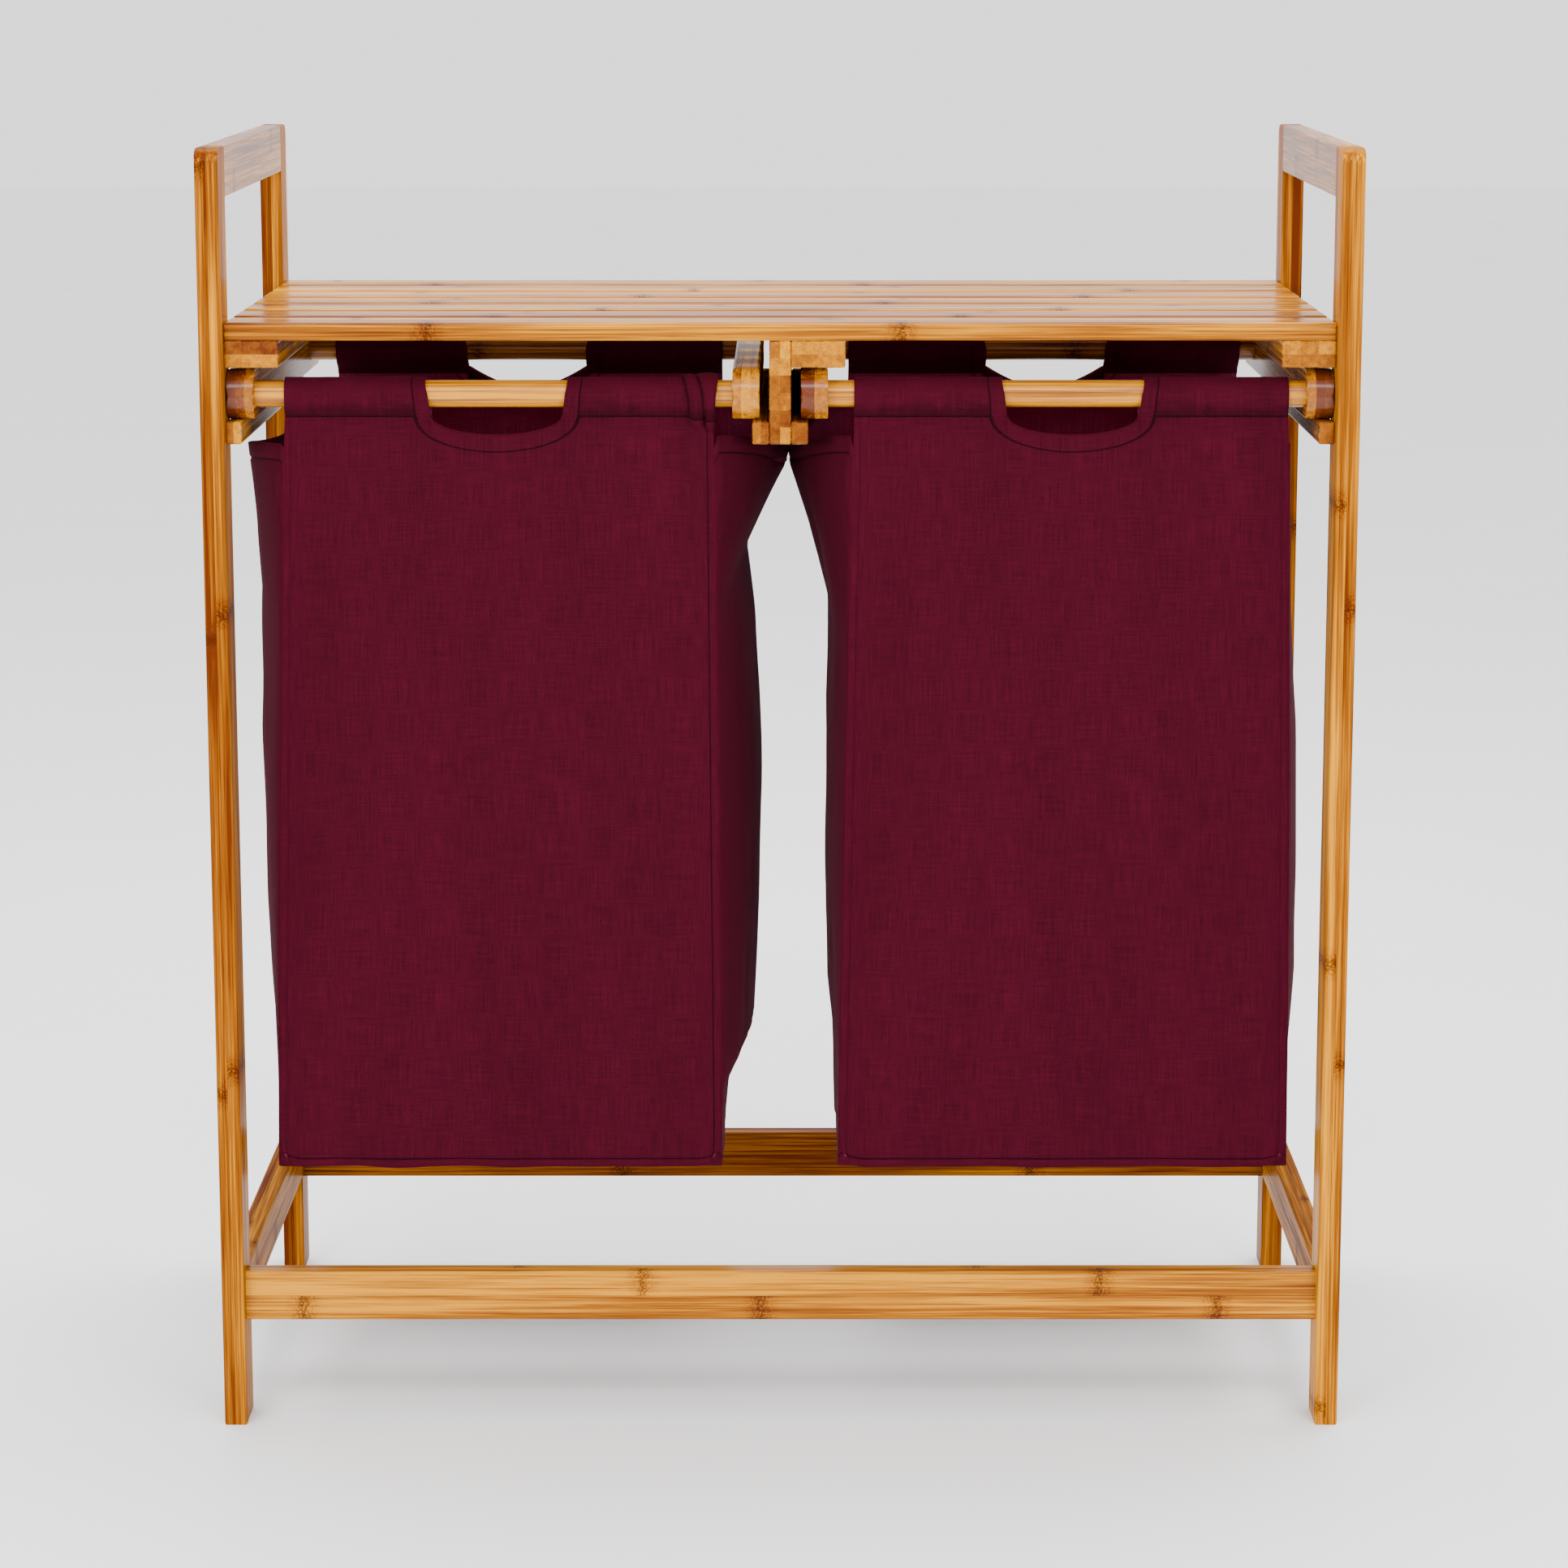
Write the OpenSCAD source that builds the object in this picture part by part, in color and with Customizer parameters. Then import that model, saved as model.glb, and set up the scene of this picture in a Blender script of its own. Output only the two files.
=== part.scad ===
// Two-bag laundry sorter: a bamboo frame with a slatted shelf and two sliding bag carriers.
// Millimetres. Origin at the bottom centre of the whole object, X right, Y back, Z up.

/* [Overall] */
// Width across the two side frames
overall_w = 640; // [560:1:800]
// Height to the top of the handles
overall_h = 730; // [680:1:880]
// Depth of a side frame, front post to rear post
frame_d = 310; // [255:1:400]
// How far the runners reach out behind the rear posts
runner_overhang = 20; // [0:1:40]

/* [Side frames] */
// Thickness of the side frame boards and of the lower rails
board_t = 13; // [11:0.5:18]
// Depth of a post, front to back
post_d = 28; // [24:0.5:36]
// Radius of a post's top outer corner
post_top_r = 10; // [4:0.5:12]
// Height of a handle rail
handle_h = 28.5; // [22:0.5:40]
// Height of the lower rails
rail_h = 29; // [22:0.5:40]
// Underside of the front and rear lower rails above the floor
rail_z = 60.5; // [30:0.5:100]
// How much higher the side rails sit than the front and rear rails
side_rail_lift = 1.5; // [0:0.5:5]
// Radius of the eased long edges
edge_r = 1.5; // [0.5:0.1:2.5]
// Radius of a post's long edges on the side of the rails, small so that the rails meet it flush
joint_edge_r = 0.5; // [0.2:0.1:1]

/* [Shelf] */
// Top of the shelf above the floor
shelf_z = 634; // [560:1:660]
// Number of slats
slat_count = 7; // [5:1:9]
// Thickness of a slat
slat_t = 10; // [8:0.5:14]
// Gap between two slats
slat_gap = 9.2; // [5:0.1:14]
// How far the shelf sits in from the post faces, at front and at rear
shelf_inset = 7; // [4:0.5:12]
// Radius of a slat's top edges
slat_r = 3; // [1:0.5:4]
// Width of a cleat under the slats
cleat_w = 30; // [24:1:40]
// Height of a cleat
cleat_h = 15; // [12:0.5:20]

/* [Divider and ledges] */
// Thickness of the centre divider board
divider_t = 12; // [11:0.5:18]
// Height of the ledge strips that the runners slide on
ledge_h = 12.5; // [10:0.5:18]
// Width of a side ledge
side_ledge_w = 9; // [7:0.5:14]
// Width of a centre ledge
centre_ledge_w = 9.5; // [7:0.5:14]

/* [Carriers] */
// Thickness of a runner
runner_t = 15; // [12:0.5:20]
// Height of a runner, which is also the diameter of its round front end
runner_h = 28; // [22:0.5:34]
// Play between an outer runner and its posts
side_play = 0.5; // [0.4:0.1:2]
// Space between an inner runner and the divider
divider_play = 5.5; // [2:0.5:7]
// Air between a runner and the ledge that it slides on
slide_gap = 0.3; // [0.3:0.05:0.8]
// Air between a runner and the cleat above it
headroom = 1.7; // [1:0.1:4]
// Front tip of a runner behind the front face of the posts
runner_tip_inset = 8.5; // [0:0.5:20]
// Diameter of the dowels that the bags hang on
dowel_d = 15; // [12:0.5:20]
// Centre of the rear dowel ahead of the runner's rear end
rear_dowel_inset = 44; // [20:1:80]
// How deep a dowel seats in a runner
seat_depth = 8; // [5:0.5:10]

/* [Bags] */
// Width of a bag at its top
bag_top_w = 240; // [180:1:250]
// Width of a bag at its bottom
bag_bottom_w = 256; // [180:1:262]
// Underside of a bag above the floor
bag_z = 150; // [110:1:260]
// Thickness of the doubled and hemmed cloth
cloth_t = 2; // [1.5:0.1:3]
// Air between a sleeve and its dowel, all round
sleeve_gap = 0.3; // [0.2:0.05:0.6]
// Top edge of a side gusset below the dowel's centre line
gusset_drop = 30; // [22:1:60]
// Width of the hand-hold cut-out
cutout_w = 74; // [60:1:110]
// Lowest edge of the cut-out below the dowel's centre line
cutout_drop = 23; // [18:1:40]

/* [Fasteners] */
// Diameter of a wood screw
screw_d = 3.5; // [3:0.1:4]
// Diameter of a screw's countersunk head
screw_head_d = 7; // [6:0.1:8]
// Height of a screw's head
screw_head_h = 2.4; // [2:0.1:3]
// Diameter of a frame or shelf bolt
bolt_d = 6; // [5:0.1:6.5]
// Diameter of a bolt's head
bolt_head_d = 11; // [9:0.5:12]
// Height of a bolt's head
bolt_head_h = 2.6; // [2:0.1:3]
// Diameter of a barrel nut
nut_d = 10; // [9:0.1:12]
// Diameter of a glue dowel
glue_d = 6; // [5:0.5:8]
// Length of a glue dowel
glue_l = 26; // [20:1:36]
// Air round each fastener in its hole
fit_gap = 0.1; // [0.05:0.05:0.2]

/* [Hidden] */
$fn = 48;
bamboo = "#c98f3f";
bamboo_dark = "#a9702c";
bamboo_light = "#dcae6a";
burgundy = "#5a0d20";
steel = "#b8b8b4";

overall_d = frame_d + runner_overhang;
front_y = -overall_d / 2;
rear_y = front_y + frame_d;
mid_y = (front_y + rear_y) / 2;
inner_x = overall_w / 2 - board_t;
post_mid_y = frame_d / 2 - post_d / 2;

// Shelf and slide heights, stacked downwards from the shelf's top
slat_z = shelf_z - slat_t;
cleat_z = slat_z - cleat_h;
runner_z = cleat_z - headroom - runner_h;
ledge_top = runner_z - slide_gap;
ledge_z = ledge_top - ledge_h;
ledge_mid_z = ledge_z + ledge_h / 2;
shelf_d = frame_d - 2 * shelf_inset;
slat_w = (shelf_d - (slat_count - 1) * slat_gap) / slat_count;
slat_pitch = slat_w + slat_gap;
cleat_mid_x = inner_x - cleat_w / 2;
centre_cleat_x = divider_t / 2 + cleat_w / 2;
side_rail_z = rail_z + side_rail_lift;
rail_mid_z = rail_z + rail_h / 2;

// A carrier, drawn on the left
outer_x = -inner_x + side_play;
inner_end_x = -divider_t / 2 - divider_play;
runner_front_y = front_y + runner_tip_inset;
runner_rear_y = front_y + overall_d;
runner_r = runner_h / 2;
dowel_z = runner_z + runner_r;
front_dowel_y = runner_front_y + runner_r;
rear_dowel_y = runner_rear_y - rear_dowel_inset;
bag_x = (outer_x + inner_end_x) / 2;

// Bag
sleeve_r = dowel_d / 2 + sleeve_gap;
sleeve_outer_r = sleeve_r + cloth_t;
panel_set = 0.4;
panel_top_z = dowel_z - dowel_d / 3;
gusset_top_z = dowel_z - gusset_drop;
cutout_r = cutout_w * 0.4;
front_panel_y = front_dowel_y - sleeve_outer_r + panel_set;
rear_panel_y = rear_dowel_y + sleeve_outer_r - panel_set;

// Fasteners
slat_screw_l = cleat_h + slat_t * 0.65;
divider_screw_l = divider_t + 16;
ledge_grip = divider_t * 0.6;
dowel_screw_l = runner_t - seat_depth + 22;
bolt_seat = bolt_head_h + 0.4;
frame_bolt_l = 60;
shelf_bolt_l = board_t - bolt_seat + cleat_w * 0.7;
nut_in = 40;
nut_l = board_t - 2;
glue_in_post = 10;
glue_pitch = 14;
divider_screw_gaps = [1, floor(slat_count / 2), slat_count - 1];

// ---- Helpers ----

// Extrudes an outline drawn in Y and Z along X
module along_x(x, l) translate([x, 0, 0]) rotate([90, 0, 90]) linear_extrude(l) children();

// Extrudes an outline drawn in X and Z along Y
module along_y(y, l) translate([0, y + l, 0]) rotate([90, 0, 0]) linear_extrude(l) children();

// A rectangle with its corner at [x, y], whose lower corners have radius r1 and upper corners r2
module eased_section(x, y, w, h, r1, r2) translate([x, y]) {
  translate([r1, 0]) square([w - 2 * r1, h / 2]);
  translate([0, r1]) square([w, h - r1 - r2]);
  translate([r2, h / 2]) square([w - 2 * r2, h / 2]);
  for (cx = [r1, w - r1]) translate([cx, r1]) circle(r1);
  for (cx = [r2, w - r2]) translate([cx, h - r2]) circle(r2);
}

module eased_rect(x, y, w, h, r = edge_r) eased_section(x, y, w, h, r, r);

// A batten with its corner at [x, y, z] and all its edges eased
module eased_block(x, y, z, w, d, h, r = edge_r) intersection() {
  along_x(x, w) eased_rect(y, z, d, h, r);
  along_y(y, d) eased_rect(x, z, w, h, r);
  translate([0, 0, z]) linear_extrude(h) eased_rect(x, y, w, d, r);
}

module right_of(side) mirror([side == "right" ? 1 : 0, 0, 0]) children();
module rear_of(end) translate([0, mid_y, 0]) mirror([0, end == "rear" ? 1 : 0, 0]) children();

// A countersunk wood screw: head's face at the origin, point down
module wood_screw(l) {
  point_h = screw_d;
  translate([0, 0, -screw_head_h]) cylinder(h = screw_head_h, d1 = screw_d, d2 = screw_head_d);
  translate([0, 0, point_h - l]) cylinder(h = l - point_h - screw_head_h, d = screw_d);
  translate([0, 0, -l]) cylinder(h = point_h, d1 = screw_d / 4, d2 = screw_d);
}

module screw_hole(l) {
  g = 2 * fit_gap;
  translate([0, 0, -l - fit_gap]) cylinder(h = l + fit_gap, d = screw_d + g);
  translate([0, 0, -screw_head_h]) cylinder(h = screw_head_h, d1 = screw_d + g, d2 = screw_head_d + g);
  cylinder(h = 1, d = screw_head_d + g);
}

// A low-headed bolt: underside of the head at the origin, shank down
module bolt(l) {
  cylinder(h = bolt_head_h, d = bolt_head_d);
  translate([0, 0, -l]) cylinder(h = l, d = bolt_d);
}

module bolt_hole(l) {
  g = 2 * fit_gap;
  cylinder(h = bolt_seat + 1, d = bolt_head_d + 2 * g);
  translate([0, 0, -l - fit_gap]) cylinder(h = l + fit_gap, d = bolt_d + g);
}

// Points a fastener along +X or -X from the given place
module into_plus_x(x, y, z) translate([x, y, z]) rotate([0, -90, 0]) children();
module into_minus_x(x, y, z) translate([x, y, z]) rotate([0, 90, 0]) children();
module upward(x, y, z) translate([x, y, z]) rotate([180, 0, 0]) children();

// ---- Fastener places, shared by the holes and by the fasteners ----

// Left posts, one end of the frame: front is drawn, rear is its mirror
module at_frame_bolt() into_plus_x(-overall_w / 2 + bolt_seat, -post_mid_y, rail_mid_z) children();
module at_shelf_bolt() into_plus_x(-overall_w / 2 + bolt_seat, -post_mid_y, cleat_z + cleat_h / 2) children();
module at_side_ledge_screw() into_minus_x(side_ledge_w - inner_x, -post_mid_y, ledge_mid_z) children();
side_ledge_screw_l = side_ledge_w + board_t * 0.6;

module at_slat_screws(x) for (i = [1:slat_count])
  upward(x, mid_y + (i - (slat_count + 1) / 2) * slat_pitch, cleat_z) children();

module at_divider_screws() for (i = divider_screw_gaps)
  into_plus_x(-divider_t / 2, mid_y + (i - slat_count / 2) * slat_pitch, cleat_z + cleat_h / 2) children();

// Left centre ledge screws go in ahead of the right ones, so that they pass each other
module at_centre_ledge_screws(side) for (k = [-1, 0, 1]) {
  y = mid_y + k * shelf_d * 0.4 + (side == "left" ? -10 : 10);
  right_of(side) into_plus_x(-divider_t / 2 - centre_ledge_w, y, ledge_mid_z) children();
}

// Glue dowels of one end of a side frame: two in the handle rail and two in the lower rail
module at_glue_dowels() for (rail = [[overall_h - handle_h, handle_h], [side_rail_z, rail_h]], s = [-1, 1])
  translate([board_t / 2 - overall_w / 2, post_d - frame_d / 2 - glue_in_post, rail[0] + rail[1] / 2 + s * glue_pitch / 2])
    rotate([-90, 0, 0]) children();

module glue_hole() translate([0, 0, -fit_gap]) cylinder(h = glue_l + 2 * fit_gap, d = glue_d + 2 * fit_gap);

// ---- Side frames ----

module post_outline() translate([-frame_d / 2, 0]) {
  square([post_d, overall_h - post_top_r]);
  translate([post_top_r, 0]) square([post_d - post_top_r, overall_h]);
  translate([post_top_r, overall_h - post_top_r]) circle(post_top_r);
}

module post(side, end) color(end == "front" ? bamboo : bamboo_dark) right_of(side) rear_of(end) difference() {
  intersection() {
    along_x(-overall_w / 2, board_t) post_outline();
    along_y(-frame_d / 2, post_d) eased_rect(-overall_w / 2, 0, board_t, overall_h);
    linear_extrude(overall_h)
      eased_section(-overall_w / 2, -frame_d / 2, board_t, post_d, edge_r, joint_edge_r);
  }
  at_glue_dowels() glue_hole();
  at_frame_bolt() bolt_hole(frame_bolt_l);
  at_shelf_bolt() bolt_hole(shelf_bolt_l);
  at_side_ledge_screw() screw_hole(side_ledge_screw_l);
}

module side_rail(side, z, h) color(bamboo) right_of(side) difference() {
  along_y(mid_y - frame_d / 2 + post_d, frame_d - 2 * post_d)
    eased_rect(-overall_w / 2, z, board_t, h);
  for (end = ["front", "rear"]) rear_of(end) at_glue_dowels() glue_hole();
}

module glue_dowels(side) color(bamboo_light) right_of(side)
  for (end = ["front", "rear"]) rear_of(end) at_glue_dowels() cylinder(h = glue_l, d = glue_d);

// ---- Lower front and rear rails ----

module at_nut() translate([nut_in - inner_x, board_t / 2 - post_mid_y, rail_mid_z]) rotate([90, 0, 0]) children();

module lower_rail(end) color(bamboo_light) rear_of(end) difference() {
  along_x(-inner_x, 2 * inner_x) eased_rect(-post_mid_y - board_t / 2, rail_z, board_t, rail_h);
  for (side = ["left", "right"]) right_of(side) {
    at_frame_bolt() bolt_hole(frame_bolt_l);
    at_nut() translate([0, 0, -1]) cylinder(h = nut_l + 1.2 + fit_gap, d = nut_d + 2 * fit_gap);
  }
}

module four_corners() for (side = ["left", "right"], end = ["front", "rear"])
  right_of(side) rear_of(end) children();

module frame_bolts() color(steel) four_corners() at_frame_bolt() bolt(frame_bolt_l);

module barrel_nuts() color(steel) four_corners() difference() {
  at_nut() translate([0, 0, 0.2]) cylinder(h = nut_l, d = nut_d);
  at_frame_bolt() bolt_hole(frame_bolt_l);
}

// ---- Shelf ----

module slat_outline() {
  square([slat_w, slat_t - slat_r]);
  translate([slat_r, 0]) square([slat_w - 2 * slat_r, slat_t]);
  for (y = [slat_r, slat_w - slat_r]) translate([y, slat_t - slat_r]) circle(slat_r);
}

module shelf_slat(i) color(bamboo_light) difference() {
  slat_y = mid_y - shelf_d / 2 + (i - 1) * slat_pitch;
  intersection() {
    along_x(-inner_x, 2 * inner_x) translate([slat_y, slat_z]) slat_outline();
    eased_block(-inner_x, slat_y, slat_z, 2 * inner_x, slat_w, slat_t);
  }
  for (x = [-cleat_mid_x, centre_cleat_x, cleat_mid_x]) at_slat_screws(x) screw_hole(slat_screw_l);
}

module shelf_cleat(x) color(bamboo_dark) difference() {
  eased_block(x - cleat_w / 2, mid_y - shelf_d / 2, cleat_z, cleat_w, shelf_d, cleat_h);
  at_slat_screws(x) screw_hole(slat_screw_l);
  at_divider_screws() screw_hole(divider_screw_l);
  four_corners() at_shelf_bolt() bolt_hole(shelf_bolt_l);
}

module shelf_bolts() color(steel) four_corners() at_shelf_bolt() bolt(shelf_bolt_l);

module slat_screws() color(steel)
  for (x = [-cleat_mid_x, centre_cleat_x, cleat_mid_x]) at_slat_screws(x) wood_screw(slat_screw_l);

// ---- Divider and ledges ----

module centre_divider() color(bamboo) difference() {
  eased_block(-divider_t / 2, mid_y - shelf_d / 2, ledge_z, divider_t, shelf_d, slat_z - ledge_z);
  at_divider_screws() screw_hole(divider_screw_l);
  for (side = ["left", "right"]) at_centre_ledge_screws(side) screw_hole(centre_ledge_w + ledge_grip);
}

module centre_ledge(side) color(bamboo_dark) difference() {
  right_of(side) eased_block(-divider_t / 2 - centre_ledge_w, mid_y - shelf_d / 2, ledge_z,
                             centre_ledge_w, shelf_d, ledge_h);
  at_centre_ledge_screws(side) screw_hole(centre_ledge_w + ledge_grip);
}

module divider_screws() color(steel) at_divider_screws() wood_screw(divider_screw_l);

module centre_ledge_screws() color(steel)
  for (side = ["left", "right"]) at_centre_ledge_screws(side) wood_screw(centre_ledge_w + ledge_grip);

module runner_ledge(side) color(bamboo_dark) right_of(side) difference() {
  eased_block(-inner_x, mid_y - shelf_d / 2, ledge_z, side_ledge_w, shelf_d, ledge_h);
  for (end = ["front", "rear"]) rear_of(end) at_side_ledge_screw() screw_hole(side_ledge_screw_l);
}

module side_ledge_screws() color(steel) four_corners() at_side_ledge_screw() wood_screw(side_ledge_screw_l);

// ---- Carriers, drawn on the left ----

// The four dowel screws: from the outer runner's face inwards, and from the inner runner's face
module at_outer_screws() for (y = [front_dowel_y, rear_dowel_y]) into_plus_x(outer_x, y, dowel_z) children();
module at_inner_screws() for (y = [front_dowel_y, rear_dowel_y]) into_minus_x(inner_end_x, y, dowel_z) children();

module runner_outline() {
  translate([front_dowel_y, dowel_z]) circle(runner_r);
  translate([front_dowel_y, runner_z]) square([runner_rear_y - front_dowel_y, runner_h]);
}

module runner_body(x, seat_x) difference() {
  intersection() {
    along_x(x, runner_t) runner_outline();
    eased_block(x, runner_front_y, runner_z, runner_t, runner_rear_y - runner_front_y, runner_h);
  }
  for (y = [front_dowel_y, rear_dowel_y])
    translate([seat_x, y, dowel_z]) rotate([0, 90, 0]) cylinder(h = seat_depth + 1, d = dowel_d + 2 * fit_gap);
}

module outer_runner(side) color(bamboo) right_of(side) difference() {
  runner_body(outer_x, outer_x + runner_t - seat_depth);
  at_outer_screws() screw_hole(dowel_screw_l);
}

module inner_runner(side) color(bamboo) right_of(side) difference() {
  runner_body(inner_end_x - runner_t, inner_end_x - runner_t - 1);
  at_inner_screws() screw_hole(dowel_screw_l);
}

module carrier_dowel(side, y) color(bamboo_light) right_of(side) difference() {
  seat = runner_t - seat_depth + fit_gap;
  translate([outer_x + seat, y, dowel_z]) rotate([0, 90, 0])
    cylinder(h = inner_end_x - outer_x - 2 * seat, d = dowel_d);
  at_outer_screws() screw_hole(dowel_screw_l);
  at_inner_screws() screw_hole(dowel_screw_l);
}

module dowel_screws(side) color(steel) right_of(side) {
  at_outer_screws() wood_screw(dowel_screw_l);
  at_inner_screws() wood_screw(dowel_screw_l);
}

// ---- Bags, drawn on the left ----

// Half width of the bag at height z, straight from the top to the bottom
function bag_half(z) = bag_top_w / 2 + (bag_bottom_w - bag_top_w) / 2 * (dowel_z - z) / (dowel_z - bag_z);

// Front outline of a panel: a slightly flared sheet from z0 up to z1, in by the given margin
module bag_outline(z0, z1, margin = 0) translate([bag_x, 0])
  polygon([[-bag_half(z0) + margin, z0], [bag_half(z0) - margin, z0],
           [bag_half(z1) - margin, z1], [-bag_half(z1) + margin, z1]]);

module cutout_outline() translate([bag_x, dowel_z - cutout_drop]) {
  translate([-cutout_w / 2, cutout_r]) square([cutout_w, cutout_drop]);
  translate([cutout_r - cutout_w / 2, 0]) square([cutout_w - 2 * cutout_r, cutout_r + 1]);
  for (s = [-1, 1]) translate([s * (cutout_w / 2 - cutout_r), cutout_r]) circle(cutout_r);
}

// The sleeves of one panel: two short tubes round the dowel, either side of the cut-out
module sleeves(y) for (s = [-1, 1]) {
  loop_w = bag_half(dowel_z) - cutout_w / 2;
  translate([bag_x + s * (cutout_w / 2 + loop_w / 2) - loop_w / 2, y, dowel_z]) rotate([0, 90, 0]) difference() {
    cylinder(h = loop_w, r = sleeve_outer_r);
    translate([0, 0, -1]) cylinder(h = loop_w + 2, r = sleeve_r);
  }
}

module hung_panel(y, dowel_y) {
  sleeves(dowel_y);
  difference() {
    along_y(y, cloth_t) bag_outline(bag_z, panel_top_z);
    along_y(y - 1, cloth_t + 2) cutout_outline();
  }
}

module bag_front(side) color(burgundy) right_of(side) hung_panel(front_panel_y, front_dowel_y);
module bag_rear(side) color(burgundy) right_of(side) hung_panel(rear_panel_y - cloth_t, rear_dowel_y);

module between_panels() along_y(front_panel_y + cloth_t, rear_panel_y - front_panel_y - 2 * cloth_t) children();

module bag_gusset(side, place) color(burgundy) right_of(side) between_panels() intersection() {
  difference() {
    bag_outline(bag_z, gusset_top_z);
    bag_outline(bag_z, gusset_top_z, cloth_t);
  }
  translate([bag_x - (place == "outer" ? bag_bottom_w : 0), bag_z])
    square([bag_bottom_w, gusset_top_z - bag_z]);
}

module bag_base(side) color(burgundy) right_of(side) between_panels()
  bag_outline(bag_z, bag_z + cloth_t, cloth_t);

// ---- Assembly ----

post("left", "front");  // left_front_post
post("left", "rear");  // left_rear_post
post("right", "front");  // right_front_post
post("right", "rear");  // right_rear_post
side_rail("left", overall_h - handle_h, handle_h);  // left_handle_rail
side_rail("right", overall_h - handle_h, handle_h);  // right_handle_rail
side_rail("left", side_rail_z, rail_h);  // left_lower_rail
side_rail("right", side_rail_z, rail_h);  // right_lower_rail
lower_rail("front");  // front_lower_rail
lower_rail("rear");  // rear_lower_rail
runner_ledge("left");  // left_runner_ledge
runner_ledge("right");  // right_runner_ledge
centre_divider();
centre_ledge("left");  // centre_ledge_left
centre_ledge("right");  // centre_ledge_right
shelf_cleat(-cleat_mid_x);  // left_shelf_cleat
shelf_cleat(centre_cleat_x);  // centre_shelf_cleat
shelf_cleat(cleat_mid_x);  // right_shelf_cleat
frame_bolts();
barrel_nuts();
shelf_bolts();
slat_screws();
divider_screws();
side_ledge_screws();
centre_ledge_screws();
glue_dowels("left");  // left_glue_dowels
glue_dowels("right");  // right_glue_dowels
for (i = [1:slat_count])
  shelf_slat(i);
for (side = ["left", "right"]) {
  outer_runner(side);
  inner_runner(side);
  carrier_dowel(side, front_dowel_y);
  carrier_dowel(side, rear_dowel_y);
  dowel_screws(side);
  bag_front(side);
  bag_rear(side);
  bag_gusset(side, "outer");
  bag_gusset(side, "inner");
  bag_base(side);
}
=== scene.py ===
import math

import bmesh
import bpy
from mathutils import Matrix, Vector, noise


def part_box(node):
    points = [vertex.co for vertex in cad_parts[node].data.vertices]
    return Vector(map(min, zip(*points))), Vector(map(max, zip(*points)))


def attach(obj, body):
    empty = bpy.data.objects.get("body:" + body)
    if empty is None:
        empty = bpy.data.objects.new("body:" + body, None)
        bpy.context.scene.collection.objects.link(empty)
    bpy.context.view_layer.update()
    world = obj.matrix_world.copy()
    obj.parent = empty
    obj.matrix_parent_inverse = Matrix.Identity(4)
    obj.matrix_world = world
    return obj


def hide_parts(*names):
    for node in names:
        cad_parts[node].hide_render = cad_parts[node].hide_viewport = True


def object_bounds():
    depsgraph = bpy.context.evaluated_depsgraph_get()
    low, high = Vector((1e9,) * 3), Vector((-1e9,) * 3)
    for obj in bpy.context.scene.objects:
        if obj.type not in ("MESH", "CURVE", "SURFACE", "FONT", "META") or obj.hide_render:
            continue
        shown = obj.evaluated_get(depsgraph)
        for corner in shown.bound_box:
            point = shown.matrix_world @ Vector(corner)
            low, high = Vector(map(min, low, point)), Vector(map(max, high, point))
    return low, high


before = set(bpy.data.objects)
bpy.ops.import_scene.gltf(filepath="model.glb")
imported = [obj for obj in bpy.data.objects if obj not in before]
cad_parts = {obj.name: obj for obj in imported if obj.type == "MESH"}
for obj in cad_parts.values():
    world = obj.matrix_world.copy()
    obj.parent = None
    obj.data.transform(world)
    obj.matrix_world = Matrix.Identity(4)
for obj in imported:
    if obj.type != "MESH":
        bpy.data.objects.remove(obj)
cad_low, cad_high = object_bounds()
MM = 0.001
SIDES = ("left", "right")
ENDS = ("front", "rear")


# ---- Camera, floor and light ----

LIGHTS = (  # name, place, aim, size across and up, power
    ("left", (-1.75, -2.4, 0.85), (0, 0, 0.42), (0.9, 1.3), 28),
    ("right", (1.85, -2.4, 0.75), (0, 0, 0.42), (0.9, 1.3), 21),
    ("top", (0.1, 0.5, 2.3), (0, 0, 0.5), (1.6, 1.0), 58),
    ("high_front", (0.0, -2.1, 2.3), (0, 0, 0.6), (1.7, 0.6), 34),
    # Slim, and a little above the shelf, to reach in under it
    ("under_shelf_left", (-1.2, -2.3, 0.84), (0, 0.1, 0.59), (0.5, 0.12), 20),
    ("under_shelf_right", (1.2, -2.3, 0.84), (0, 0.1, 0.59), (0.5, 0.12), 20),
)
SURROUND_STRENGTH = 1.75
FLOOR_HALF_SIZE = 12


def place_camera():
    """Just above the handles and far enough back for the shelf's top to show as a thin strip."""
    distance, eye_height, tilt_down = 2.285, 0.8416, 10.0
    camera = bpy.data.objects.new("camera", bpy.data.cameras.new("camera"))
    bpy.context.collection.objects.link(camera)
    camera.location = (0.0101, cad_low.y - distance, eye_height)
    camera.rotation_euler = (math.radians(90 - tilt_down), 0, 0)
    camera.data.lens = 95.6
    camera.data.shift_x = -0.0092
    camera.data.shift_y = -0.07
    camera.data.clip_end = 50
    bpy.context.scene.camera = camera


def area_light(name, location, aim, size, power):
    light = bpy.data.lights.new(name, "AREA")
    light.shape = "RECTANGLE"
    light.size, light.size_y = size
    light.energy = power
    lamp = bpy.data.objects.new(name, light)
    bpy.context.collection.objects.link(lamp)
    lamp.location = location
    lamp.rotation_euler = (Vector(aim) - Vector(location)).to_track_quat("-Z", "Y").to_euler()


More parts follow.
